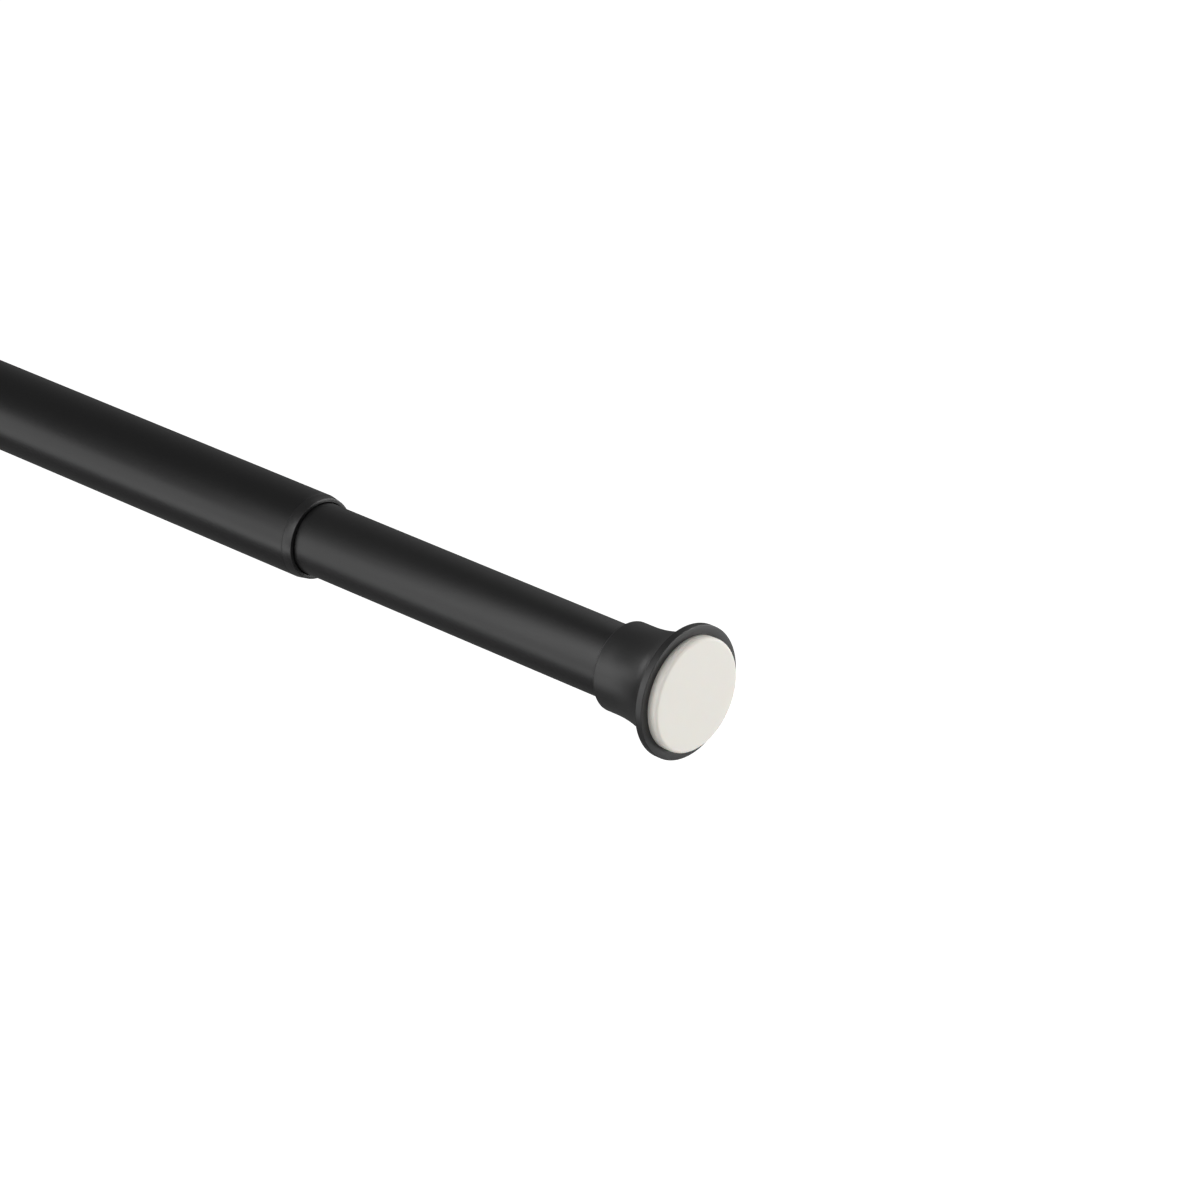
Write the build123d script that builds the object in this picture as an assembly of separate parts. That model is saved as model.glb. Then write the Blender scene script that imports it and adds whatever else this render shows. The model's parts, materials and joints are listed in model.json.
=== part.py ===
from build123d import *
import os
from math import pi

# Telescopic shower curtain rod that is tightened between two walls by twisting its inner tube.
# The rod lies along X. The origin is the middle of the far pad's wall face.
# +X points to the near wall and +Z is up.
# It is stored as the photograph shows it: part of the inner tube is drawn out, and the jack is screwed in.
# All sizes are in millimetres.

# Lengths from wall to wall
closed_length = 700.0  # tubes pushed together, screw screwed in
open_length = 1200.0  # tubes drawn out, screw screwed out
bare_length = 130.7  # inner tube in view between the mouth collar and the near cap, as stored
closed_gap = 0.5  # left between the mouth collar and the near cap when the rod is closed

# Tubes
outer_tube_diameter = 28.0
tube_wall = 0.6
tube_gap = 1.5  # radial space between the two tubes
inner_tube_length = 610.0

# Fits
running_gap = 0.3  # between pieces that slide or turn on each other
seat_gap = 0.05  # between pieces that are pressed or seated together

# End caps
cap_length = 25.9  # rim's front plane to collar's edge
socket_wall = 2.2
rim_overhang = 5.02  # rim beyond the far cap's collar
rim_thickness = 2.75
rim_front_round = 0.2
rim_back_round = 0.7
rim_step = 0.5  # ledge between the rim's back round and the flare
flare_length = 18.65  # rim's back to where the flare leaves the collar
flare_waist = 6.15  # rim's back to where the flare's tight arc ends
waist_share = 0.34  # part of the flare's rise that lies before its waist
collar_edge_round = 0.6
socket_chamfer = 0.4

# Pads and what the caps hold behind them
pad_stand = 3.17  # pad's face beyond the rim's front plane
pad_edge_round = 0.6
rim_band = 3.14  # flat ring of the rim left round the pad
recess_depth = 1.2
recess_gap = 0.15
pad_seat_width = 0.95
web_thickness = 2.4
pocket_radius = 6.3
pocket_depth = 3.8
hub_floor = 2.2
hub_wall = 2.4
core_depth = 5.8
core_straight = 1.9  # cored pocket's full-width part
core_end_width = 0.5
core_count = 12
core_angle = 24.0
cap_hole_radius = 2.8

# Plugs in the tubes' ends
plug_length = 14.0
plug_wall = 1.8
plug_floor = 2.5
plug_boss_wall = 2.4
plug_web = 1.6
plug_web_count = 4
plug_inset = 0.6  # plug's rim behind the tube's end

# Cap screws
screw_radius = 2.0
screw_length = 12.0
screw_tip = 1.6
screw_head_radius = 4.6
screw_head_height = 2.0
screw_head_round = 1.2
screw_recess_width = 1.1
screw_recess_length = 4.4
screw_recess_depth = 1.2
shoulder_radius = 2.5
washer_thickness = 0.8
washer_radius = 5.6

# Mouth collar
nose_length = 3.4
nose_drop = 0.6  # how far the nose tapers in
lip_round = 0.42  # between the nose and the flat front face
land_chamfer = 0.15
spigot_length = 12.0
spigot_slot_width = 2.0
spigot_slot_length = 8.0
spigot_slot_count = 4

# Guide bush
bush_length = 14.0
bush_lip = 0.8
bush_groove_depth = 0.4
bush_groove_width = 2.0
bush_groove_count = 2

# Nut plug and the crimp that holds it
nut_length = 22.0
nut_flange = 2.5
nut_flange_drop = 0.7  # flange below the bore of the outer tube's running surface
nut_chamfer = 0.8
crimp_place = 9.0  # from the inner tube's inner end
crimp_width = 3.0
crimp_depth = 0.5

# Jack screw
jack_diameter = 10.0
jack_turns = 10
jack_lead = 3.0
jack_tip = 2.5
retracted_gap = 0.5
thrust_collar_radius = 7.0
thrust_collar_length = 2.0
shank_diameter = 8.0
shank_end = 1.8
shank_chamfer = 0.9

# Stop clip
clip_thickness = 1.2
clip_radius = 8.0
clip_web_radius = 5.6
clip_groove_radius = 4.0
clip_mouth_angle = 100.0
clip_tooth_width = 3.4

# Expander
cone_rim = 1.5
cone_length = 18.0
cone_large_radius = 10.6
cone_small_radius = 6.6
jaw_setback = 2.2  # jaws' ends behind the cone's rim
cone_run = 1.7  # free run past the cone's small end
sleeve_hub = 3.0
sleeve_skirt = 7.5
spring_pocket_radius = 7.4
jaw_count = 4
jaw_slit_width = 1.8
grip_groove_count = 5
grip_groove_pitch = 3.2
grip_groove_width = 1.2
grip_groove_depth = 0.4

# Spring, washer and nut at the screw's end
spring_length = 12.0
spring_wire = 1.0
spring_mean_radius = 5.8
spring_turns = 4.0
spring_washer_thickness = 1.2
spring_washer_radius = 7.6
nut_across_flats = 13.0
retaining_nut_length = 6.0
retaining_nut_bevel = 0.8
retaining_nut_bevel_length = 0.4

# Radii that follow from the sizes above
outer_radius = outer_tube_diameter / 2
outer_bore = outer_radius - tube_wall
inner_radius = outer_bore - tube_gap
inner_bore = inner_radius - tube_wall
slide_radius = outer_bore - running_gap
jack_radius = jack_diameter / 2
shank_radius = shank_diameter / 2
hub_radius = pocket_radius + hub_wall
far_collar_radius = outer_radius + seat_gap + socket_wall
near_collar_radius = inner_radius + running_gap + socket_wall
rim_radius = far_collar_radius + rim_overhang
pad_radius = rim_radius - rim_band
jack_stroke = jack_turns * jack_lead

# Places along the rod
cap_seat = recess_depth + web_thickness  # from the rim's front plane to the tube's seat
pocket_floor = recess_depth + pocket_depth
hub_back = pocket_floor + hub_floor
cap_to_wall = pad_stand + cap_length
lip_x = closed_length - cap_to_wall - closed_gap
seam_x = lip_x - nose_length
near_wall_x = lip_x + bare_length + cap_to_wall
near_rim_x = near_wall_x - pad_stand
tube_near_x = near_rim_x - cap_seat - running_gap
tube_inner_x = tube_near_x - inner_tube_length

os.makedirs("parts", exist_ok=True)


def turned(*outline):
    """A solid turned about X from a closed outline of edges and of (x, radius) points joined by lines."""
    with BuildPart() as piece:
        with BuildSketch(Plane.XY):
            with BuildLine():
                for item in outline:
                    if isinstance(item, list):
                        Polyline(*item)
                    else:
                        add(item)
            make_face()
        revolve(axis=Axis.X)
    return piece.part


def turned_points(*points):
    """A solid turned about X from straight lines only."""
    return turned([*points, points[0]])


def rounded(start, end, way):
    """A quarter round in an outline, leaving start in the direction of way."""
    return TangentArc(start, end, tangent=way)


def round_array(shape, count):
    """Copies of a shape set evenly about X."""
    return [Rot(X=360 / count * i) * shape for i in range(count)]


def block_x(x_low, x_high, y_size, z_size, y_place=0.0):
    """A block that runs from one X to another, centred on Z."""
    box = Box(x_high - x_low, y_size, z_size)
    return Pos((x_low + x_high) / 2, y_place, 0) * box


def at_far_end(shape):
    """Places a shape, built inwards from its rim's front plane at X 0, at the far end."""
    return Pos(pad_stand, 0, 0) * shape


def at_near_end(shape):
    """The same for the near end, which looks the other way."""
    return Pos(near_rim_x, 0, 0) * (Rot(Z=180) * shape)


def at_inner_end(shape):
    """Places a shape, built from the inner tube's inner end at X 0."""
    return Pos(tube_inner_x, 0, 0) * shape


def save(shape, name, colour):
    shape.label = name
    shape.color = Color(*colour)
    export_step(shape, f"parts/{name}.step")


# End caps and pads
def bell_cap(collar_radius, cored):
    """Collar, two-arc flare and rounded rim, with the pad's recess in front and the tube's socket behind."""
    socket_radius = collar_radius - socket_wall
    recess_radius = pad_radius + recess_gap
    rim_edge = rim_radius - rim_back_round
    lip_radius = rim_edge - rim_step
    rise = lip_radius - collar_radius
    flare_end = (rim_thickness + flare_length, collar_radius)
    waist = (rim_thickness + flare_waist, collar_radius + waist_share * rise)
    lip = (rim_thickness, lip_radius)
    slow_arc = TangentArc(flare_end, waist, tangent=(-1, 0))
    tight_arc = TangentArc(waist, lip, tangent=slow_arc % 1)
    front_start = (0, rim_radius - rim_front_round)
    front_end = (rim_front_round, rim_radius)
    back_start = (rim_thickness - rim_back_round, rim_radius)
    back_end = (rim_thickness, rim_edge)
    edge_start = (cap_length - collar_edge_round, collar_radius)
    edge_end = (cap_length, collar_radius - collar_edge_round)
    cap = turned(
        [(0, recess_radius), front_start],
        rounded(front_start, front_end, (0, 1)),
        [front_end, back_start],
        rounded(back_start, back_end, (1, 0)),
        [back_end, lip],
        tight_arc,
        slow_arc,
        [flare_end, edge_start],
        rounded(edge_start, edge_end, (1, 0)),
        [
            edge_end,
            (cap_length, socket_radius + socket_chamfer),
            (cap_length - socket_chamfer, socket_radius),
            (cap_seat, socket_radius),
            (cap_seat, hub_radius),
            (hub_back, hub_radius),
            (hub_back, cap_hole_radius),
            (pocket_floor, cap_hole_radius),
            (pocket_floor, pocket_radius),
            (recess_depth, pocket_radius),
            (recess_depth, recess_radius),
            (0, recess_radius),
        ],
    )
    if cored:
        outer = pad_radius - pad_seat_width
        core_end = recess_depth + core_depth
        with BuildPart() as core:
            with BuildSketch(Plane.XY):
                with BuildLine():
                    Polyline(
                        (recess_depth, collar_radius),
                        (recess_depth, outer),
                        (recess_depth + core_straight, outer),
                        (core_end, collar_radius + core_end_width),
                        (core_end, collar_radius),
                        close=True,
                    )
                make_face()
            revolve(axis=Axis.X, revolution_arc=core_angle)
        cap -= round_array(core.part, core_count)
    return cap


def rubber_pad():
    """Disc that stands out of the rim, with a rounded front edge."""
    edge_start = (-pad_stand, pad_radius - pad_edge_round)
    edge_end = (pad_edge_round - pad_stand, pad_radius)
    return turned(
        [(-pad_stand, 0), edge_start],
        rounded(edge_start, edge_end, (0, 1)),
        [edge_end, (recess_depth, pad_radius), (recess_depth, 0), (-pad_stand, 0)],
    )


# Plugs and screws behind the pads
def tube_plug(bore, gap):
    """Cup pressed into a tube's end: it clears the cap's hub by gap, and its boss takes the cap's screw."""
    radius = bore - seat_gap
    rim_x = cap_seat + gap + plug_inset
    floor_x = hub_back + gap
    back_x = floor_x + plug_length
    boss_radius = screw_radius + seat_gap + plug_boss_wall
    plug = turned_points(
        (rim_x, radius),
        (back_x, radius),
        (back_x, radius - plug_wall),
        (floor_x + plug_floor, radius - plug_wall),
        (floor_x + plug_floor, boss_radius),
        (back_x, boss_radius),
        (back_x, screw_radius + seat_gap),
        (floor_x, screw_radius + seat_gap),
        (floor_x, hub_radius + running_gap),
        (rim_x, hub_radius + running_gap),
    )
    web_low = boss_radius - seat_gap
    web_high = radius - plug_wall / 2
    web = block_x(floor_x + plug_floor / 2, back_x, web_high - web_low, plug_web, (web_low + web_high) / 2)
    return plug + round_array(web, plug_web_count)


def cap_screw(seat, shoulder):
    """Pan-head screw whose head rests at seat, with a shoulder to the plug where the cap turns on it."""
    top = seat - screw_head_height
    thread_start = hub_back + shoulder
    tip = thread_start + screw_length
    neck = shoulder_radius if shoulder else screw_radius
    edge_start = (top, screw_head_radius - screw_head_round)
    edge_end = (top + screw_head_round, screw_head_radius)
    screw = turned(
        [(top, 0), edge_start],
        rounded(edge_start, edge_end, (0, 1)),
        [
            edge_end,
            (seat, screw_head_radius),
            (seat, neck),
            (thread_start, neck),
            (thread_start, screw_radius - seat_gap),
            (tip - screw_tip, screw_radius - seat_gap),
            (tip, 0),
            (top, 0),
        ],
    )
    bar = block_x(top, top + screw_recess_depth, screw_recess_length, screw_recess_width)
    return screw - [bar, Rot(X=90) * bar]


def swivel_washer():
    back = pocket_floor - running_gap
    front = back - washer_thickness
    bore = shoulder_radius + seat_gap
    return turned_points((front, bore), (front, washer_radius), (back, washer_radius), (back, bore))


# Tubes and the mouth
def outer_tube():
    start = pad_stand + cap_seat
    return turned_points(
        (start, outer_bore), (start, outer_radius), (seam_x, outer_radius), (seam_x, outer_bore)
    )


def inner_tube():
    """Tube with a rolled crimp near its inner end."""
    low = crimp_place - crimp_width / 2
    high = crimp_place + crimp_width / 2
    outer_dip = (crimp_place, inner_radius - crimp_depth)
    bore_dip = (crimp_place, inner_bore - crimp_depth)
    return at_inner_end(
        turned(
            [(0, inner_bore), (0, inner_radius), (low, inner_radius)],
            ThreePointArc((low, inner_radius), outer_dip, (high, inner_radius)),
            [(high, inner_radius), (inner_tube_length, inner_radius), (inner_tube_length, inner_bore)],
            [(inner_tube_length, inner_bore), (high, inner_bore)],
            ThreePointArc((high, inner_bore), bore_dip, (low, inner_bore)),
            [(low, inner_bore), (0, inner_bore)],
        )
    )


def mouth_collar():
    """Bevelled nose in front of the tube's end, slotted spigot in its bore and land for the inner tube."""
    lip_radius = outer_radius - nose_drop
    land_radius = inner_radius + running_gap
    spigot_radius = outer_bore - seat_gap
    spigot_end = nose_length + spigot_length
    edge_start = (0, lip_radius - lip_round)
    edge_end = (lip_round, lip_radius)
    ring = turned(
        [(0, land_radius + land_chamfer), edge_start],
        rounded(edge_start, edge_end, (0, 1)),
        [
            edge_end,
            (nose_length, outer_radius),
            (nose_length, spigot_radius),
            (spigot_end, spigot_radius),
            (spigot_end, land_radius),
            (land_chamfer, land_radius),
            (0, land_radius + land_chamfer),
        ],
    )
    slot = block_x(
        spigot_end - spigot_slot_length,
        spigot_end,
        outer_bore - land_radius + running_gap,
        spigot_slot_width,
        (outer_bore + land_radius) / 2,
    )
    ring -= round_array(slot, spigot_slot_count)
    return Pos(lip_x, 0, 0) * (Rot(Z=180) * ring)


def guide_bush():
    """Slip ring on the inner tube's end, hooked over the end by a lip under the nut plug's flange."""
    bush = turned_points(
        (-bush_lip, inner_bore + seat_gap),
        (-bush_lip, slide_radius),
        (bush_length, slide_radius),
        (bush_length, inner_radius + seat_gap),
        (0, inner_radius + seat_gap),
        (0, inner_bore + seat_gap),
    )
    space = (bush_length - bush_groove_count * bush_groove_width) / (bush_groove_count + 1)
    for i in range(bush_groove_count):
        start = space + i * (space + bush_groove_width)
        end = start + bush_groove_width
        bush -= turned_points(
            (start, slide_radius - bush_groove_depth),
            (start, slide_radius + running_gap),
            (end, slide_radius + running_gap),
            (end, slide_radius - bush_groove_depth),
        )
    return at_inner_end(bush)


# Jack: nut plug, screw and stop clip
def nut_plug():
    """Nut in the inner tube's end, with a groove under the crimp."""
    radius = inner_bore - seat_gap
    bore = jack_radius + running_gap
    flange_radius = slide_radius - nut_flange_drop
    face = -bush_lip - nut_flange
    low = crimp_place - crimp_width / 2
    high = crimp_place + crimp_width / 2
    return at_inner_end(
        turned(
            [
                (face, bore + nut_chamfer),
                (face, flange_radius),
                (-bush_lip, flange_radius),
                (-bush_lip, radius),
                (low, radius),
            ],
            ThreePointArc((low, radius), (crimp_place, radius - crimp_depth), (high, radius)),
            [
                (high, radius),
                (nut_length - nut_chamfer, radius),
                (nut_length, radius - nut_chamfer),
                (nut_length, bore + nut_chamfer),
                (nut_length - nut_chamfer, bore),
                (face + nut_chamfer, bore),
                (face, bore + nut_chamfer),
            ],
        )
    )


# The jack's pieces follow each other from the nut plug's face towards the far end
thrust_x = -bush_lip - nut_flange - retracted_gap
cone_x = thrust_x - thrust_collar_length
cone_end = cone_x - cone_length
jaw_x = cone_x - jaw_setback
hub_x = cone_end - cone_run
spring_x = hub_x - sleeve_hub
sleeve_end = spring_x - sleeve_skirt
washer_x = spring_x - spring_length
retaining_x = washer_x - spring_washer_thickness
shank_x = retaining_x - retaining_nut_length - shank_end
clip_x = nut_length + jack_stroke + running_gap


def jack_screw():
    """Threaded stem, thrust collar and plain shank, with a groove for the stop clip."""
    tip = clip_x + clip_thickness + jack_tip
    stem = jack_radius - seat_gap
    groove_end = clip_x + clip_thickness
    chamfer = jack_radius - clip_groove_radius
    return at_inner_end(
        turned_points(
            (tip, 0),
            (tip, stem - chamfer),
            (tip - chamfer, stem),
            (groove_end, stem),
            (groove_end, clip_groove_radius),
            (clip_x, clip_groove_radius),
            (clip_x, stem),
            (thrust_x, stem),
            (thrust_x, thrust_collar_radius),
            (cone_x, thrust_collar_radius),
            (cone_x, shank_radius),
            (shank_x + shank_chamfer, shank_radius),
            (shank_x, shank_radius - shank_chamfer),
            (shank_x, 0),
        )
    )


def stop_clip():
    """E-shaped clip: an open ring with three teeth that seat in the screw's groove."""
    tooth_radius = clip_groove_radius + seat_gap
    ring_middle = (clip_radius + clip_web_radius) / 2
    wedge_reach = 2 * clip_radius
    with BuildPart() as clip:
        with BuildSketch(Plane.YZ):
            Circle(clip_radius)
            Circle(clip_web_radius, mode=Mode.SUBTRACT)
            with PolarLocations(0, 3, start_angle=90):
                with Locations((ring_middle / 2, 0)):
                    Rectangle(ring_middle, clip_tooth_width)
            Circle(tooth_radius, mode=Mode.SUBTRACT)
            with BuildLine(mode=Mode.PRIVATE) as mouth:
                start = Vector(0, 0)
                left = Vector(-wedge_reach, 0).rotate(Axis.Z, 90 - clip_mouth_angle / 2)
                right = Vector(wedge_reach, 0).rotate(Axis.Z, clip_mouth_angle / 2 - 90)
                Polyline(start, left, right, close=True)
            make_face(mouth.line, mode=Mode.SUBTRACT)
        extrude(amount=clip_thickness)
    return at_inner_end(Pos(clip_x, 0, 0) * clip.part)


# Expander: cone, split sleeve, spring, washer and nut
def cone_radius_at(x):
    slope = (cone_large_radius - cone_small_radius) / (cone_length - cone_rim)
    return cone_small_radius + slope * (x - cone_end)


def expander_cone():
    bore = shank_radius + seat_gap
    return at_inner_end(
        turned_points(
            (cone_x, bore),
            (cone_x, cone_large_radius),
            (cone_x - cone_rim, cone_large_radius),
            (cone_end, cone_small_radius),
            (cone_end, bore),
        )
    )


def expander_sleeve():
    """Sleeve slit into jaws over the cone, with grip grooves and the spring's pocket behind its hub."""
    free_radius = cone_small_radius + seat_gap
    hub_bore = shank_radius + seat_gap
    sleeve = turned_points(
        (jaw_x, cone_radius_at(jaw_x) + seat_gap),
        (jaw_x, slide_radius),
        (sleeve_end, slide_radius),
        (sleeve_end, spring_pocket_radius),
        (spring_x, spring_pocket_radius),
        (spring_x, hub_bore),
        (hub_x, hub_bore),
        (hub_x, free_radius),
        (cone_end, free_radius),
    )
    slit = block_x(cone_end, jaw_x, outer_bore - hub_bore, jaw_slit_width, (outer_bore + hub_bore) / 2)
    sleeve -= round_array(slit, jaw_count)
    for i in range(grip_groove_count):
        start = jaw_x - (i + 1) * grip_groove_pitch
        end = start + grip_groove_width
        sleeve -= turned_points(
            (start, slide_radius - grip_groove_depth),
            (start, slide_radius + running_gap),
            (end, slide_radius + running_gap),
            (end, slide_radius - grip_groove_depth),
        )
    return at_inner_end(sleeve)


def sleeve_spring():
    height = spring_length - spring_wire
    path = Helix(pitch=height / spring_turns, height=height, radius=spring_mean_radius)
    with BuildPart() as coil:
        with BuildSketch(Plane(origin=path @ 0, z_dir=path % 0)):
            Circle(spring_wire / 2)
        sweep(path=path, is_frenet=True)
    return at_inner_end(Pos(washer_x + spring_wire / 2, 0, 0) * (Rot(Y=90) * coil.part))


def spring_washer():
    bore = shank_radius + seat_gap
    return at_inner_end(
        turned_points(
            (retaining_x, bore),
            (retaining_x, spring_washer_radius),
            (washer_x, spring_washer_radius),
            (washer_x, bore),
        )
    )


def retaining_nut():
    """Hexagon nut with its corners turned off."""
    end = retaining_x - retaining_nut_length
    corner_radius = nut_across_flats / 3**0.5
    with BuildPart() as nut:
        with BuildSketch(Plane.YZ.offset(end)):
            RegularPolygon(nut_across_flats / 2, 6, major_radius=False)
            Circle(shank_radius + seat_gap, mode=Mode.SUBTRACT)
        extrude(amount=retaining_nut_length)
    envelope = turned_points(
        (end, 0),
        (end, corner_radius - retaining_nut_bevel),
        (end + retaining_nut_bevel_length, corner_radius),
        (retaining_x - retaining_nut_bevel_length, corner_radius),
        (retaining_x, corner_radius - retaining_nut_bevel),
        (retaining_x, 0),
    )
    return at_inner_end(nut.part & envelope)


# Colours for the files
paint = (0.03, 0.03, 0.03)
moulding = (0.04, 0.04, 0.04)
rubber = (0.86, 0.84, 0.79)
acetal = (0.82, 0.82, 0.80)
zinc = (0.66, 0.67, 0.69)

# Fixed group: outer tube, mouth collar and far end
save(outer_tube(), "outer_tube", paint)
save(mouth_collar(), "mouth_collar", moulding)
save(at_far_end(bell_cap(far_collar_radius, False)), "far_cap", moulding)
save(at_far_end(rubber_pad()), "far_pad", rubber)
save(at_far_end(tube_plug(outer_bore, seat_gap)), "far_tube_plug", acetal)
save(at_far_end(cap_screw(pocket_floor, 0)), "far_cap_screw", zinc)

# Jack group: screw and expander
save(jack_screw(), "jack_screw", zinc)
save(stop_clip(), "stop_clip", zinc)
save(expander_cone(), "expander_cone", acetal)
save(expander_sleeve(), "expander_sleeve", acetal)
save(sleeve_spring(), "sleeve_spring", zinc)
save(spring_washer(), "spring_washer", zinc)
save(retaining_nut(), "retaining_nut", zinc)

# Near end group: the cap and pad that stay still on the wall
save(at_near_end(bell_cap(near_collar_radius, True)), "near_cap", moulding)
save(at_near_end(rubber_pad()), "near_pad", rubber)

# Turning group: inner tube and what is fixed in it
save(inner_tube(), "inner_tube", paint)
save(guide_bush(), "guide_bush", acetal)
save(nut_plug(), "nut_plug", acetal)
save(at_near_end(tube_plug(inner_bore, running_gap)), "near_tube_plug", acetal)
swivel_seat = pocket_floor - running_gap - washer_thickness
save(at_near_end(cap_screw(swivel_seat, running_gap)), "swivel_screw", zinc)
save(at_near_end(swivel_washer()), "swivel_washer", zinc)

slide_open = open_length - jack_stroke - near_wall_x
print("near wall at", round(near_wall_x, 3), "inner tube's inner end at", round(tube_inner_x, 3))
print("slide range", round(closed_gap - bare_length, 3), round(slide_open, 3), "screw travel", jack_stroke)
print("metres for each radian of twist", jack_lead / 1000 / (2 * pi))
print("overlap of the tubes when open", round(lip_x - tube_inner_x - slide_open - jack_stroke, 3))
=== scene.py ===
import bpy
import json
import math
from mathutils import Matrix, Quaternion, Vector


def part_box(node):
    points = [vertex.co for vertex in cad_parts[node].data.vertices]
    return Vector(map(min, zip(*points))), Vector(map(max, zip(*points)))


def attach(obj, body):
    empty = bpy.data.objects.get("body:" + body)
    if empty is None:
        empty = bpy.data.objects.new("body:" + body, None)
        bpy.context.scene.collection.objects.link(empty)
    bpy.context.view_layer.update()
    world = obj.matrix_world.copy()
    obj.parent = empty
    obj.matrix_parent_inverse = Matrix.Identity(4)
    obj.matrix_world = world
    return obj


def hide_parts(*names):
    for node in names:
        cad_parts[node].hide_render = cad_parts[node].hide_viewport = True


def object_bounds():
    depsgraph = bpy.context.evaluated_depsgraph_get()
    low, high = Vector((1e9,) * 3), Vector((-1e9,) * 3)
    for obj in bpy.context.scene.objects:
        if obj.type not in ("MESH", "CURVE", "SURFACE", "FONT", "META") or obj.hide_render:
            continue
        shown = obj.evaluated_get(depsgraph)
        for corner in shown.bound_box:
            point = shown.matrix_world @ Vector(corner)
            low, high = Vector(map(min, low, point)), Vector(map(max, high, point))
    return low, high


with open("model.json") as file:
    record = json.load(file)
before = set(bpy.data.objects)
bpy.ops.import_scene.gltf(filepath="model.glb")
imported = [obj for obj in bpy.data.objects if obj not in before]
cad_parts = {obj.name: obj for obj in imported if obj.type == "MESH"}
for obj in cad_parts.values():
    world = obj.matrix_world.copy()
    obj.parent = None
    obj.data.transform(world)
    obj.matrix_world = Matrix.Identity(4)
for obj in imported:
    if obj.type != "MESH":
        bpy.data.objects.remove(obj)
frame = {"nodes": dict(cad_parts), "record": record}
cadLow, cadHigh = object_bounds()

# Telescopic shower curtain rod, matt black with cream rubber pads. It lies along X, and the near end, with
# the pad that the photograph shows, is at +X. Outlines are (x, radius) points in metres, turned about X.
mm = 0.001
sharpAngle = math.radians(32)  # edges that turn by more than this stay crisp


def newCollection(name):
    made = bpy.data.collections.new(name)
    bpy.context.scene.collection.children.link(made)
    return made


rodParts = newCollection("rodParts")
studioParts = newCollection("studioParts")

# Camera, at the photograph's viewing angle; its azimuth runs from -Y towards +X
cameraSettings = {
    "aim": (0.7986, -0.00826, 0.02428),
    "azimuth": 42.76,
    "elevation": 26.25,
    "distance": 1.4461,
    "lens": 145.79,
    "sensor": 36,
    "clip": (0.05, 60),
}


def addCamera(s):
    azimuth, elevation = math.radians(s["azimuth"]), math.radians(s["elevation"])
    back = Vector((
        math.sin(azimuth) * math.cos(elevation),
        -math.cos(azimuth) * math.cos(elevation),
        math.sin(elevation),
    ))
    data = bpy.data.cameras.new("photoCamera")
    data.sensor_width = s["sensor"]
    data.lens = s["lens"]
    data.clip_start, data.clip_end = s["clip"]
    camera = bpy.data.objects.new("photoCamera", data)
    camera.location = Vector(s["aim"]) + back * s["distance"]
    camera.rotation_euler = (-back).to_track_quat("-Z", "Y").to_euler()
    studioParts.objects.link(camera)
    bpy.context.scene.camera = camera


addCamera(cameraSettings)
print("camera set")

# Shader helpers
noiseMiddle = 0.5  # the value round which a noise varies


def addGroup(name, inputs, outputs):
    group = bpy.data.node_groups.new(name, "ShaderNodeTree")
    for label, kind, value in inputs:
        made = group.interface.new_socket(label, in_out="INPUT", socket_type=kind)
        if value is not None:
            made.default_value = value
    for label, kind in outputs:
        group.interface.new_socket(label, in_out="OUTPUT", socket_type=kind)
    return group, group.nodes.new("NodeGroupInput"), group.nodes.new("NodeGroupOutput")


def placeGroup(tree, group, vector, values):
    node = tree.nodes.new("ShaderNodeGroup")
    node.node_tree = group
    tree.links.new(vector, node.inputs["Vector"])
    for label, value in values.items():
        node.inputs[label].default_value = value
    return node


def mathNode(tree, operation, first, second):
    node = tree.nodes.new("ShaderNodeMath")
    node.operation = operation
    for i, value in enumerate((first, second)):
        if isinstance(value, (int, float)):
            node.inputs[i].default_value = value
        else:
            tree.links.new(value, node.inputs[i])
    return node.outputs[0]


def noiseNode(tree, vector, scale, detail, roughness=0.5):
    node = tree.nodes.new("ShaderNodeTexNoise")
    node.inputs["Detail"].default_value = detail
    node.inputs["Roughness"].default_value = roughness
    tree.links.new(vector, node.inputs["Vector"])
    if isinstance(scale, (int, float)):
        node.inputs["Scale"].default_value = scale
    else:
        tree.links.new(scale, node.inputs["Scale"])
    return node.outputs["Fac"]


# Fine grain of a moulded or powder-coated surface: a height, and a roughness that varies in wide patches
grainSettings = {
    "fineDetail": 2.0,
    "waveShare": 0.08,  # the waves' scale as a share of the grain's
    "waveDetail": 1.0,
    "patchScale": 55.0,
    "patchDetail": 3.0,
}


def buildSurfaceGrain(s):
    group, start, end = addGroup(
        "surfaceGrain",
        [
            ("Vector", "NodeSocketVector", None),
            ("Grain Size", "NodeSocketFloat", 0.0004),
            ("Roughness", "NodeSocketFloat", 0.45),
            ("Roughness Spread", "NodeSocketFloat", 0.05),
            ("Waviness", "NodeSocketFloat", 0.3),
        ],
        [("Roughness", "NodeSocketFloat"), ("Height", "NodeSocketFloat")],
    )
    place = start.outputs["Vector"]
    scale = mathNode(group, "DIVIDE", 1.0, start.outputs["Grain Size"])
    fine = noiseNode(group, place, scale, s["fineDetail"])
    wideScale = mathNode(group, "MULTIPLY", scale, s["waveShare"])
    wide = noiseNode(group, place, wideScale, s["waveDetail"])
    patches = noiseNode(group, place, s["patchScale"], s["patchDetail"])
    centred = mathNode(group, "SUBTRACT", patches, noiseMiddle)
    spread = mathNode(group, "MULTIPLY", centred, start.outputs["Roughness Spread"])
    group.links.new(mathNode(group, "ADD", spread, start.outputs["Roughness"]), end.inputs["Roughness"])
    waves = mathNode(group, "MULTIPLY", wide, start.outputs["Waviness"])
    group.links.new(mathNode(group, "ADD", fine, waves), end.inputs["Height"])
    return group


# Soft uneven tone, a little lighter and darker than the colour
driftSettings = {"detail": 3.0, "roughness": 0.55}


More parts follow.
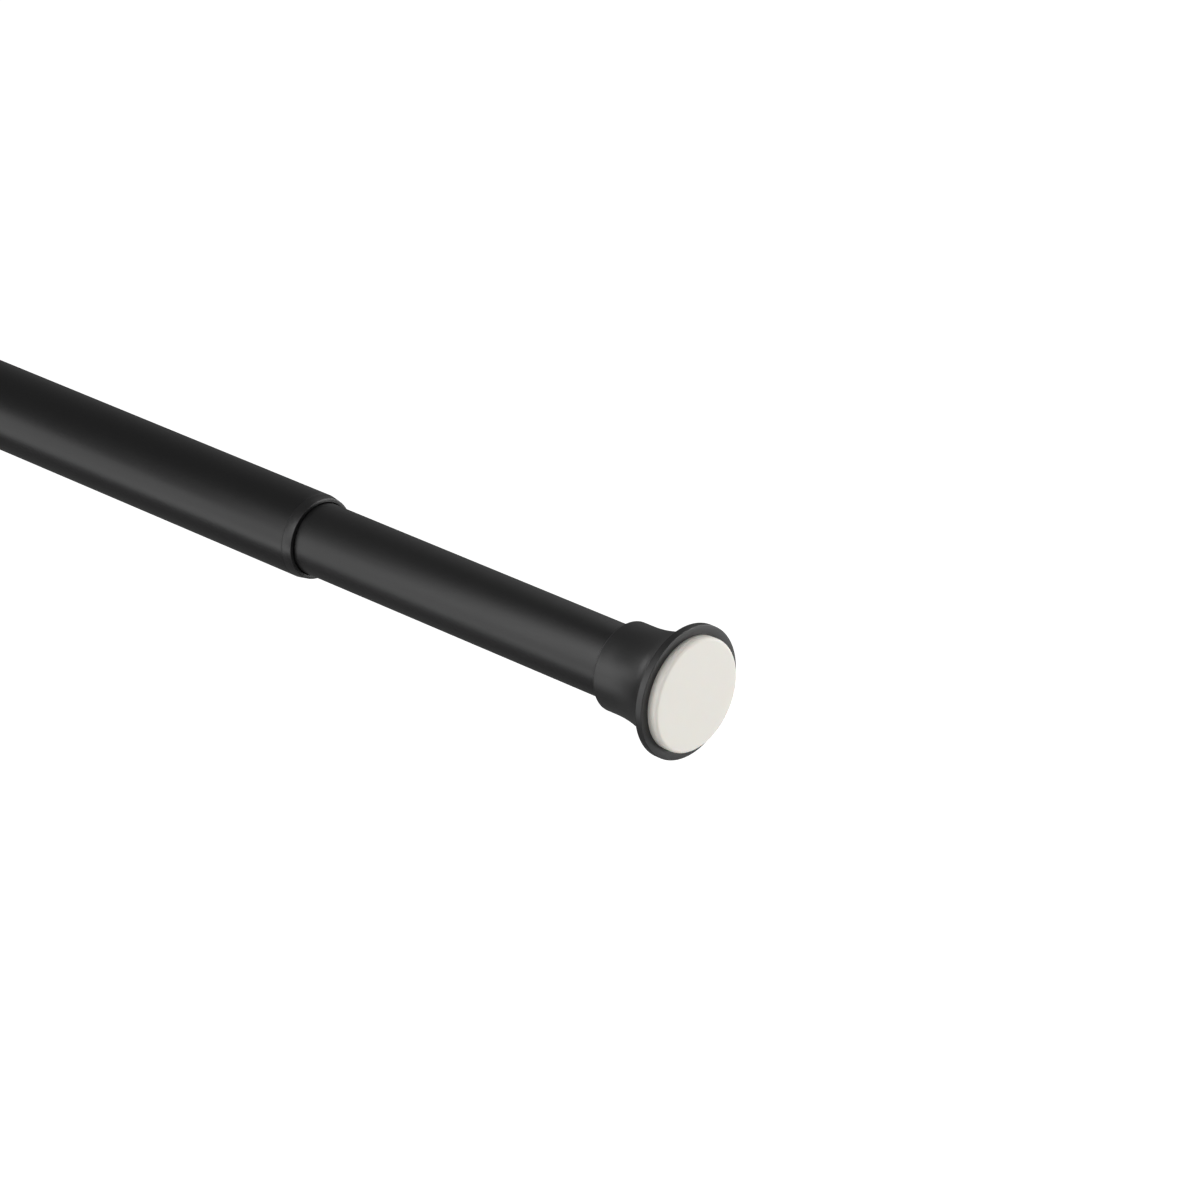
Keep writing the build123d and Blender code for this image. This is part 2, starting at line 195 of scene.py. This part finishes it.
def buildToneDrift(s):
    group, start, end = addGroup(
        "toneDrift",
        [
            ("Vector", "NodeSocketVector", None),
            ("Color", "NodeSocketColor", (0.5, 0.5, 0.5, 1)),
            ("Drift Size", "NodeSocketFloat", 0.02),
            ("Amount", "NodeSocketFloat", 0.05),
        ],
        [("Color", "NodeSocketColor")],
    )
    scale = mathNode(group, "DIVIDE", 1.0, start.outputs["Drift Size"])
    drift = noiseNode(group, start.outputs["Vector"], scale, s["detail"], s["roughness"])
    centred = mathNode(group, "SUBTRACT", drift, noiseMiddle)
    value = mathNode(group, "ADD", mathNode(group, "MULTIPLY", centred, start.outputs["Amount"]), 1.0)
    hue = group.nodes.new("ShaderNodeHueSaturation")
    group.links.new(start.outputs["Color"], hue.inputs["Color"])
    group.links.new(value, hue.inputs["Value"])
    group.links.new(hue.outputs["Color"], end.inputs["Color"])
    return group


surfaceGrain = buildSurfaceGrain(grainSettings)
toneDrift = buildToneDrift(driftSettings)


def addMaterial(s):
    material = bpy.data.materials.new(s["name"])
    material.use_nodes = True
    tree = material.node_tree
    shader = tree.nodes["Principled BSDF"]
    place = tree.nodes.new("ShaderNodeTexCoord").outputs["Object"]
    tone = placeGroup(tree, toneDrift, place, {
        "Color": (*s["color"], 1),
        "Drift Size": s["driftSize"],
        "Amount": s["drift"],
    })
    grain = placeGroup(tree, surfaceGrain, place, {
        "Grain Size": s["grainSize"],
        "Roughness": s["roughness"],
        "Roughness Spread": s["roughnessSpread"],
        "Waviness": s["waviness"],
    })
    bump = tree.nodes.new("ShaderNodeBump")
    bump.inputs["Strength"].default_value = s["bump"]
    bump.inputs["Distance"].default_value = s["bumpDepth"]
    tree.links.new(grain.outputs["Height"], bump.inputs["Height"])
    tree.links.new(tone.outputs["Color"], shader.inputs["Base Color"])
    tree.links.new(grain.outputs["Roughness"], shader.inputs["Roughness"])
    tree.links.new(bump.outputs["Normal"], shader.inputs["Normal"])
    shader.inputs["Metallic"].default_value = s.get("metallic", 0.0)
    shader.inputs["Specular IOR Level"].default_value = s.get("specular", 0.5)
    shader.inputs["Subsurface Weight"].default_value = s.get("subsurface", 0.0)
    shader.inputs["Subsurface Scale"].default_value = s.get("subsurfaceDepth", 0.001)
    return material


# Powder coat of the inner tube; the outer tube's is a little smoother
paintSettings = {
    "name": "blackPowderCoat",
    "color": (0.004, 0.004, 0.0042),
    "driftSize": 0.03,
    "drift": 0.1,
    "grainSize": 0.0003,
    "roughness": 0.4,
    "roughnessSpread": 0.05,
    "waviness": 1.2,
    "bump": 0.12,
    "bumpDepth": 0.00003,
}
blackPaint = addMaterial(paintSettings)
smoothPaint = addMaterial({
    **paintSettings,
    "name": "smoothPowderCoat",
    "roughness": 0.34,
    "specular": 0.465,
})

# End caps
blackMoulding = addMaterial({
    "name": "blackMoulding",
    "color": (0.0095, 0.0095, 0.0097),
    "driftSize": 0.02,
    "drift": 0.1,
    "grainSize": 0.00022,
    "roughness": 0.4,
    "roughnessSpread": 0.05,
    "waviness": 0.5,
    "bump": 0.15,
    "bumpDepth": 0.00003,
})

# Mouth collar
satinMoulding = addMaterial({
    "name": "satinMoulding",
    "color": (0.006, 0.006, 0.0062),
    "driftSize": 0.01,
    "drift": 0.1,
    "grainSize": 0.00022,
    "roughness": 0.36,
    "roughnessSpread": 0.06,
    "waviness": 0.8,
    "bump": 0.1,
    "bumpDepth": 0.00002,
})

# Pads
creamRubber = addMaterial({
    "name": "creamRubber",
    "color": (0.78, 0.758, 0.70),
    "driftSize": 0.012,
    "drift": 0.03,
    "grainSize": 0.00035,
    "roughness": 0.62,
    "roughnessSpread": 0.06,
    "waviness": 0.6,
    "bump": 0.12,
    "bumpDepth": 0.00004,
    "subsurface": 0.1,
    "subsurfaceDepth": 0.0015,
})

# Plugs, bush, cone and sleeve inside the tubes
whiteAcetal = addMaterial({
    "name": "whiteAcetal",
    "color": (0.74, 0.73, 0.69),
    "driftSize": 0.01,
    "drift": 0.05,
    "grainSize": 0.0003,
    "roughness": 0.38,
    "roughnessSpread": 0.08,
    "waviness": 0.6,
    "bump": 0.1,
    "bumpDepth": 0.00003,
    "subsurface": 0.15,
    "subsurfaceDepth": 0.001,
})

# Jack screw and small hardware
zincSteel = addMaterial({
    "name": "zincSteel",
    "color": (0.56, 0.57, 0.6),
    "driftSize": 0.006,
    "drift": 0.12,
    "grainSize": 0.0002,
    "roughness": 0.33,
    "roughnessSpread": 0.12,
    "waviness": 0.8,
    "bump": 0.12,
    "bumpDepth": 0.00002,
    "metallic": 1.0,
})
print("materials made")

# Outline helpers
straightBow = 1e-9  # an arc that bows by less is a straight line
axisRadius = 1e-7  # a point nearer the axis lies on it


def arcAfter(start, direction, end, steps):
    # leaves start along direction and reaches end; gives the points after start and the last heading
    chord = Vector(end) - Vector(start)
    heading = Vector(direction).normalized()
    side = Vector((-heading.y, heading.x))
    offset = chord.dot(side)
    if abs(offset) < straightBow:
        return [tuple(end)], tuple(heading)
    radius = chord.length_squared / (2 * offset)
    centre = Vector(start) + side * radius
    spoke = Vector(start) - centre
    turn = 2 * math.atan2(offset, chord.dot(heading))
    points = []
    for i in range(1, steps + 1):
        angle = turn * i / steps
        points.append((
            centre.x + spoke.x * math.cos(angle) - spoke.y * math.sin(angle),
            centre.y + spoke.x * math.sin(angle) + spoke.y * math.cos(angle),
        ))
    lastHeading = (
        heading.x * math.cos(turn) - heading.y * math.sin(turn),
        heading.x * math.sin(turn) + heading.y * math.cos(turn),
    )
    return points, lastHeading


def softened(corners, steps):
    # closed outline from (x, radius, rounding) corners; a rounding of 0 keeps the corner
    points = []
    for i, (x, r, rounding) in enumerate(corners):
        if not rounding:
            points.append((x, r))
            continue
        here = Vector((x, r))
        before = (Vector(corners[i - 1][:2]) - here).normalized()
        after = (Vector(corners[(i + 1) % len(corners)][:2]) - here).normalized()
        reach = rounding / math.tan(before.angle(after) / 2)
        start, end = here + before * reach, here + after * reach
        points.append(tuple(start))
        points += arcAfter(start, -before, end, steps)[0]
    return points


def mirrored(outline, plane):
    # looks the other way from a plane, and runs backwards so that the faces still point outward
    return [(plane - x, r) for x, r in reversed(outline)]


def shifted(outline, plane):
    return [(plane + x, r) for x, r in outline]


def atRodEnd(outline, low, high):
    # an outline drawn from its wall side, set at the rod's near or far end
    if high.x > (cadLow.x + cadHigh.x) / 2:
        return mirrored(outline, high.x)
    return shifted(outline, low.x)


def radiusOf(node):
    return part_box(node)[1].z


def turnedPiece(name, outline, segments):
    # a mesh turned about X from a closed outline; points on the axis become one vertex
    mesh = bpy.data.meshes.new(name)
    vertices, rings = [], []
    for x, r in outline:
        if r < axisRadius:
            rings.append([len(vertices)] * segments)
            vertices.append((x, 0, 0))
            continue
        first = len(vertices)
        rings.append([first + j for j in range(segments)])
        for j in range(segments):
            angle = 2 * math.pi * j / segments
            vertices.append((x, r * math.cos(angle), r * math.sin(angle)))
    faces = []
    for i, ring in enumerate(rings):
        other = rings[(i + 1) % len(rings)]
        if len(set(ring)) == 1 and len(set(other)) == 1:
            continue
        for j in range(segments):
            k = (j + 1) % segments
            corners = [ring[j], ring[k], other[k], other[j]]
            faces.append([v for n, v in enumerate(corners) if v != corners[n - 1]])
    mesh.from_pydata(vertices, [], faces)
    mesh.validate()
    mesh.shade_smooth()
    mesh.set_sharp_from_angle(angle=sharpAngle)
    piece = bpy.data.objects.new(name, mesh)
    rodParts.objects.link(piece)
    return piece


def dress(piece, material, body, node):
    piece.data.materials.clear()
    piece.data.materials.append(material)
    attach(piece, body)
    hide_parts(node)


# Tubes: thin steel with cut ends; a rolled crimp holds the nut plug in the inner one
tubeSettings = {
    "wall": 0.6 * mm,
    "endRound": 0.12 * mm,
    "crimpPlace": 9.0 * mm,
    "crimpWidth": 3.0 * mm,
    "crimpDepth": 0.5 * mm,
    "crimpSteps": 8,
    "arcSteps": 3,
    "segments": 256,
}


def tubeOutline(low, high, radius, s, crimped):
    endRound = s["endRound"]
    bore = radius - s["wall"]
    outside, inside = [], []
    if crimped:
        for i in range(s["crimpSteps"] + 1):
            share = i / s["crimpSteps"]
            x = low + s["crimpPlace"] + s["crimpWidth"] * (share - 0.5)
            dip = s["crimpDepth"] * math.sin(math.pi * share)
            outside.append((x, radius - dip, 0))
            inside.append((x, bore - dip, 0))
    corners = [
        (low, bore, endRound),
        (low, radius, endRound),
        *outside,
        (high, radius, endRound),
        (high, bore, endRound),
        *reversed(inside),
    ]
    return softened(corners, s["arcSteps"])


def buildTubes(s):
    for name, node, body, paint, crimped in (
        ("outerTube", "outer_tube", "outer_section", smoothPaint, False),
        ("innerTube", "inner_tube", "inner_section", blackPaint, True),
    ):
        low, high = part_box(node)
        piece = turnedPiece(name, tubeOutline(low.x, high.x, high.z, s, crimped), s["segments"])
        dress(piece, paint, body, node)


buildTubes(tubeSettings)
print("tubes made")

# Mouth collar: bevelled nose with a rounded edge and a flat front face round the inner tube
collarSettings = {
    "noseLength": 3.4 * mm,
    "noseDrop": 0.6 * mm,
    "lipRound": 0.14 * mm,
    "mouthRound": 0.1 * mm,
    "seamRound": 0.1 * mm,
    "backRound": 0.3 * mm,
    "gap": 0.3 * mm,
    "seat": 0.05 * mm,
    "arcSteps": 5,
    "segments": 256,
}


def buildCollar(s):
    low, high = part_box("mouth_collar")
    outerRadius = radiusOf("outer_tube")
    spigotRadius = outerRadius - tubeSettings["wall"] - s["seat"]
    landRadius = radiusOf("inner_tube") + s["gap"]
    lipRadius = outerRadius - s["noseDrop"]
    length = high.x - low.x
    corners = [
        (0, landRadius, s["mouthRound"]),
        (0, lipRadius, s["lipRound"]),
        (s["noseLength"], outerRadius, s["seamRound"]),
        (s["noseLength"], spigotRadius, 0),
        (length, spigotRadius, s["backRound"]),
        (length, landRadius, s["backRound"]),
    ]
    outline = mirrored(softened(corners, s["arcSteps"]), high.x)
    piece = turnedPiece("mouthCollar", outline, s["segments"])
    dress(piece, satinMoulding, "outer_section", "mouth_collar")


buildCollar(collarSettings)
print("mouth collar made")

# End caps: collar, two-arc flare and rounded rim
capSettings = {
    "socketWall": 2.2 * mm,
    "runningGap": 0.3 * mm,
    "seatGap": 0.05 * mm,
    "rimThickness": 2.75 * mm,
    "rimFrontRound": 0.2 * mm,
    "rimBackRound": 0.7 * mm,
    "rimStep": 0.5 * mm,
    "flareLength": 18.65 * mm,
    "flareWaist": 6.15 * mm,
    "waistShare": 0.34,
    "slowSteps": 24,
    "tightSteps": 20,
    "edgeRound": 0.6 * mm,
    "socketRound": 0.4 * mm,
    "recessDepth": 1.2 * mm,
    "recessGap": 0.15 * mm,
    "recessRound": 0.12 * mm,
    "webThickness": 2.4 * mm,
    "pocketRadius": 6.3 * mm,
    "pocketDepth": 3.8 * mm,
    "pocketRound": 0.3 * mm,
    "pocketMouthRound": 0.2 * mm,
    "hubFloor": 2.2 * mm,
    "hubWall": 2.4 * mm,
    "hubRound": 0.3 * mm,
    "holeRadius": 2.8 * mm,
    "arcSteps": 8,
    "segments": 256,
}


def capOutline(length, rimRadius, padRadius, collarRadius, s):
    recess = padRadius + s["recessGap"]
    socket = collarRadius - s["socketWall"]
    rimEdge = rimRadius - s["rimBackRound"]
    lipRadius = rimEdge - s["rimStep"]
    flareEnd = (s["rimThickness"] + s["flareLength"], collarRadius)
    waistRadius = collarRadius + s["waistShare"] * (lipRadius - collarRadius)
    waist = (s["rimThickness"] + s["flareWaist"], waistRadius)
    slow, heading = arcAfter(flareEnd, (-1, 0), waist, s["slowSteps"])
    tight = arcAfter(waist, heading, (s["rimThickness"], lipRadius), s["tightSteps"])[0]
    seat = s["recessDepth"] + s["webThickness"]
    floor = s["recessDepth"] + s["pocketDepth"]
    hubRadius = s["pocketRadius"] + s["hubWall"]
    hubBack = floor + s["hubFloor"]
    front = [
        (s["recessDepth"], recess, 0),
        (0, recess, s["recessRound"]),
        (0, rimRadius, s["rimFrontRound"]),
        (s["rimThickness"], rimRadius, s["rimBackRound"]),
        (s["rimThickness"], lipRadius, 0),
    ]
    flare = [(x, r, 0) for x, r in list(reversed([flareEnd, *slow, *tight]))[1:]]
    back = [
        (length, collarRadius, s["edgeRound"]),
        (length, socket, s["socketRound"]),
        (seat, socket, 0),
        (seat, hubRadius, s["hubRound"]),
        (hubBack, hubRadius, s["hubRound"]),
        (hubBack, s["holeRadius"], 0),
        (floor, s["holeRadius"], 0),
        (floor, s["pocketRadius"], s["pocketRound"]),
        (s["recessDepth"], s["pocketRadius"], s["pocketMouthRound"]),
    ]
    return softened(front + flare + back, s["arcSteps"])


def buildCap(name, node, padNode, tubeNode, tubeGap, body, s):
    low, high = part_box(node)
    collarRadius = radiusOf(tubeNode) + tubeGap + s["socketWall"]
    outline = capOutline(high.x - low.x, high.z, radiusOf(padNode), collarRadius, s)
    piece = turnedPiece(name, atRodEnd(outline, low, high), s["segments"])
    dress(piece, blackMoulding, body, node)


# The near cap runs on its tube, the far one is seated on it
nearGap, farGap = capSettings["runningGap"], capSettings["seatGap"]
buildCap("nearCap", "near_cap", "near_pad", "inner_tube", nearGap, "near_end", capSettings)
buildCap("farCap", "far_cap", "far_pad", "outer_tube", farGap, "outer_section", capSettings)
print("end caps made")

# Pads: moulded rubber discs
padSettings = {
    "edgeRound": 1.0 * mm,
    "backRound": 0.2 * mm,
    "faceRings": 6,
    "arcSteps": 10,
    "segments": 256,
}


def buildPad(name, node, body, s):
    low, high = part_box(node)
    thickness = high.x - low.x
    corners = [(0, high.z * i / s["faceRings"], 0) for i in range(s["faceRings"])]
    corners += [
        (0, high.z, s["edgeRound"]),
        (thickness, high.z, s["backRound"]),
        (thickness, 0, 0),
    ]
    outline = softened(corners, s["arcSteps"])
    piece = turnedPiece(name, atRodEnd(outline, low, high), s["segments"])
    dress(piece, creamRubber, body, node)


buildPad("nearPad", "near_pad", "near_end", padSettings)
buildPad("farPad", "far_pad", "outer_section", padSettings)
print("pads made")

# Jack screw: coarse thread, thrust collar, plain shank and the stop clip's groove
jackSettings = {
    "stemRadius": 4.95 * mm,
    "lead": 3.0 * mm,
    "threadDepth": 0.8 * mm,
    "crestShare": 0.3,
    "flankShare": 0.2,
    "threadStep": 0.25 * mm,
    "fadeLength": 1.2 * mm,
    "collarRadius": 7.0 * mm,
    "collarLength": 2.0 * mm,
    "collarPlace": 39.93 * mm,
    "collarRound": 0.3 * mm,
    "shankRadius": 4.0 * mm,
    "shankChamfer": 0.9 * mm,
    "tipLength": 2.5 * mm,
    "tipChamfer": 1.0 * mm,
    "grooveWidth": 1.2 * mm,
    "grooveRadius": 4.0 * mm,
    "arcSteps": 5,
    "segments": 64,
}


def cutThread(piece, low, high, s):
    # pushes the stem's points in along a helix, fading out at both ends; the crest is at half a turn
    for vertex in piece.data.vertices:
        x, y, z = vertex.co
        radius = math.hypot(y, z)
        if low < x < high and radius > s["shankRadius"]:
            phase = (x / s["lead"] - math.atan2(z, y) / (2 * math.pi)) % 1
            slope = abs(phase - 0.5) - s["crestShare"] / 2
            depth = min(max(slope / s["flankShare"], 0), 1) * s["threadDepth"]
            depth *= min((x - low) / s["fadeLength"], (high - x) / s["fadeLength"], 1)
            vertex.co = (x, y * (1 - depth / radius), z * (1 - depth / radius))


def buildJackScrew(s):
    low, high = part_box("jack_screw")
    collarLow = low.x + s["collarPlace"]
    stemLow = collarLow + s["collarLength"]
    grooveHigh = high.x - s["tipLength"]
    stemHigh = grooveHigh - s["grooveWidth"]
    count = round((stemHigh - stemLow) / s["threadStep"])
    stem = [(stemLow + (stemHigh - stemLow) * i / count, s["stemRadius"], 0) for i in range(count + 1)]
    corners = [
        (low.x, 0, 0),
        (low.x, s["shankRadius"] - s["shankChamfer"], 0),
        (low.x + s["shankChamfer"], s["shankRadius"], 0),
        (collarLow, s["shankRadius"], 0),
        (collarLow, s["collarRadius"], s["collarRound"]),
        (stemLow, s["collarRadius"], s["collarRound"]),
        *stem,
        (stemHigh, s["grooveRadius"], 0),
        (grooveHigh, s["grooveRadius"], 0),
        (grooveHigh, s["stemRadius"], 0),
        (high.x - s["tipChamfer"], s["stemRadius"], 0),
        (high.x, s["stemRadius"] - s["tipChamfer"], 0),
        (high.x, 0, 0),
    ]
    piece = turnedPiece("jackScrew", softened(corners, s["arcSteps"]), s["segments"])
    cutThread(piece, stemLow, stemHigh, s)
    dress(piece, zincSteel, "jack", "jack_screw")


buildJackScrew(jackSettings)
print("jack screw made")

# Every CAD piece gets its finish; the inner ones that nothing above replaces are shown in their CAD form
finishes = {
    "white_plastic": whiteAcetal,
    "zinc_steel": zincSteel,
    "black_paint": blackPaint,
    "black_plastic": blackMoulding,
    "pad_rubber": creamRubber,
}
slotOf = {row["node"]: row["material_slot"] for row in frame["record"]["subparts"]}
for nodeName, node in frame["nodes"].items():
    node.data.materials.clear()
    node.data.materials.append(finishes[slotOf[nodeName]])
    node.data.shade_smooth()
    node.data.set_sharp_from_angle(angle=sharpAngle)
print("inner pieces dressed")

# Studio: floor far below the rod, dim room, large soft panels round the near end
studioSettings = {
    "floorHeight": -1.45,
    "floorSize": 30.0,
    "floorColor": (0.35, 0.35, 0.35),
    "floorGlow": 1.0,
    "roomLight": 0.194,
    "panelAim": (0.78, 0, 0),
}

# A panel's azimuth runs from +X towards +Y. The front ones stand side by side as one wall, and "bevel" is
# the one that the mouth collar's bevel reflects.
frontWall = {"azimuth": -129.6, "elevation": -8.9, "distance": 2.97, "roll": -25.3}
around = {"distance": 2.2, "roll": 0, "offset": (0, 0)}
panels = [
    {"name": "frontLeft", **frontWall, "offset": (-1.33, 0.59), "size": (1.33, 1.18), "radiance": 1.73},
    {"name": "frontMiddle", **frontWall, "offset": (0, 0), "size": (1.33, 2.35), "radiance": 1.65},
    {"name": "frontLow", **frontWall, "offset": (1.33, -0.59), "size": (1.33, 1.18), "radiance": 3.65},
    {"name": "frontHigh", **frontWall, "offset": (1.33, 0.59), "size": (1.33, 1.18), "radiance": 0.96},
    {"name": "endMiddle", **around, "azimuth": 45, "elevation": 0, "size": (1.3, 1.4), "radiance": 6.45},
    {"name": "endSide", **around, "azimuth": 80, "elevation": -20, "size": (1.3, 2.8), "radiance": 1.87},
    {"name": "endLow", **around, "azimuth": -8, "elevation": -40, "size": (2.2, 1.4), "radiance": 1.0},
    {"name": "bevel", **around, "azimuth": -108, "elevation": 36, "size": (0.46, 0.85), "radiance": 2.6},
    {"name": "corner", **around, "azimuth": -45, "elevation": -10, "size": (1.2, 2.8), "radiance": 1.5},
    {
        "name": "rimPanel",
        "azimuth": 101.8,
        "elevation": 37.0,
        "distance": 1.87,
        "roll": -1.0,
        "offset": (0, 0),
        "size": (0.77, 2.07),
        "radiance": 2.15,
    },
    {
        "name": "fillPanel",
        "azimuth": -105.1,
        "elevation": 39.7,
        "distance": 0.4,
        "roll": -15.6,
        "offset": (0, 0),
        "size": (0.25, 0.56),
        "radiance": 2.02,
    },
    {
        "name": "farPanel",
        "azimuth": 180.0,
        "elevation": 8.0,
        "distance": 1.15,
        "roll": 0,
        "offset": (0, 0),
        "size": (0.35, 0.35),
        "radiance": 2.1,
    },
]


def buildFloor(s):
    # white to the camera from above, see-through from below
    half = s["floorSize"] / 2
    mesh = bpy.data.meshes.new("studioFloor")
    corners = [(-half, -half), (half, -half), (half, half), (-half, half)]
    mesh.from_pydata([(x, y, s["floorHeight"]) for x, y in corners], [], [(0, 1, 2, 3)])
    floor = bpy.data.objects.new("studioFloor", mesh)
    studioParts.objects.link(floor)
    material = bpy.data.materials.new("studioFloor")
    material.use_nodes = True
    tree = material.node_tree
    tree.nodes.clear()
    diffuse = tree.nodes.new("ShaderNodeBsdfDiffuse")
    diffuse.inputs["Color"].default_value = (*s["floorColor"], 1)
    glow = tree.nodes.new("ShaderNodeEmission")
    path = tree.nodes.new("ShaderNodeLightPath")
    toCamera = mathNode(tree, "MULTIPLY", path.outputs["Is Camera Ray"], s["floorGlow"])
    tree.links.new(toCamera, glow.inputs["Strength"])
    both = tree.nodes.new("ShaderNodeAddShader")
    tree.links.new(diffuse.outputs[0], both.inputs[0])
    tree.links.new(glow.outputs[0], both.inputs[1])
    clear = tree.nodes.new("ShaderNodeBsdfTransparent")
    side = tree.nodes.new("ShaderNodeNewGeometry")
    pick = tree.nodes.new("ShaderNodeMixShader")
    tree.links.new(side.outputs["Backfacing"], pick.inputs[0])
    tree.links.new(both.outputs[0], pick.inputs[1])
    tree.links.new(clear.outputs[0], pick.inputs[2])
    out = tree.nodes.new("ShaderNodeOutputMaterial")
    tree.links.new(pick.outputs[0], out.inputs["Surface"])
    mesh.materials.append(material)


def buildRoom(s):
    # white to the camera, dim to everything else
    world = bpy.data.worlds.new("studioRoom")
    world.use_nodes = True
    tree = world.node_tree
    background = tree.nodes["Background"]
    path = tree.nodes.new("ShaderNodeLightPath")
    rest = mathNode(tree, "SUBTRACT", 1.0, path.outputs["Is Camera Ray"])
    dim = mathNode(tree, "MULTIPLY", rest, s["roomLight"])
    strength = mathNode(tree, "ADD", path.outputs["Is Camera Ray"], dim)
    tree.links.new(strength, background.inputs["Strength"])
    background.inputs["Color"].default_value = (1, 1, 1, 1)
    bpy.context.scene.world = world


def addPanel(s, aim):
    azimuth, elevation = math.radians(s["azimuth"]), math.radians(s["elevation"])
    away = Vector((
        math.cos(elevation) * math.cos(azimuth),
        math.cos(elevation) * math.sin(azimuth),
        math.sin(elevation),
    ))
    data = bpy.data.lights.new(s["name"], "AREA")
    data.shape = "RECTANGLE"
    data.size, data.size_y = s["size"]
    data.energy = s["radiance"] * math.pi * data.size * data.size_y
    panel = bpy.data.objects.new(s["name"], data)
    turn = away.to_track_quat("Z", "Y") @ Quaternion((0, 0, 1), math.radians(s["roll"]))
    panel.location = Vector(aim) + away * s["distance"] + turn @ Vector((*s["offset"], 0))
    panel.rotation_euler = turn.to_euler()
    panel.visible_camera = False
    studioParts.objects.link(panel)


buildFloor(studioSettings)
buildRoom(studioSettings)
for panelSettings in panels:
    addPanel(panelSettings, studioSettings["panelAim"])
bpy.context.scene.view_settings.view_transform = "Standard"
print("studio made")
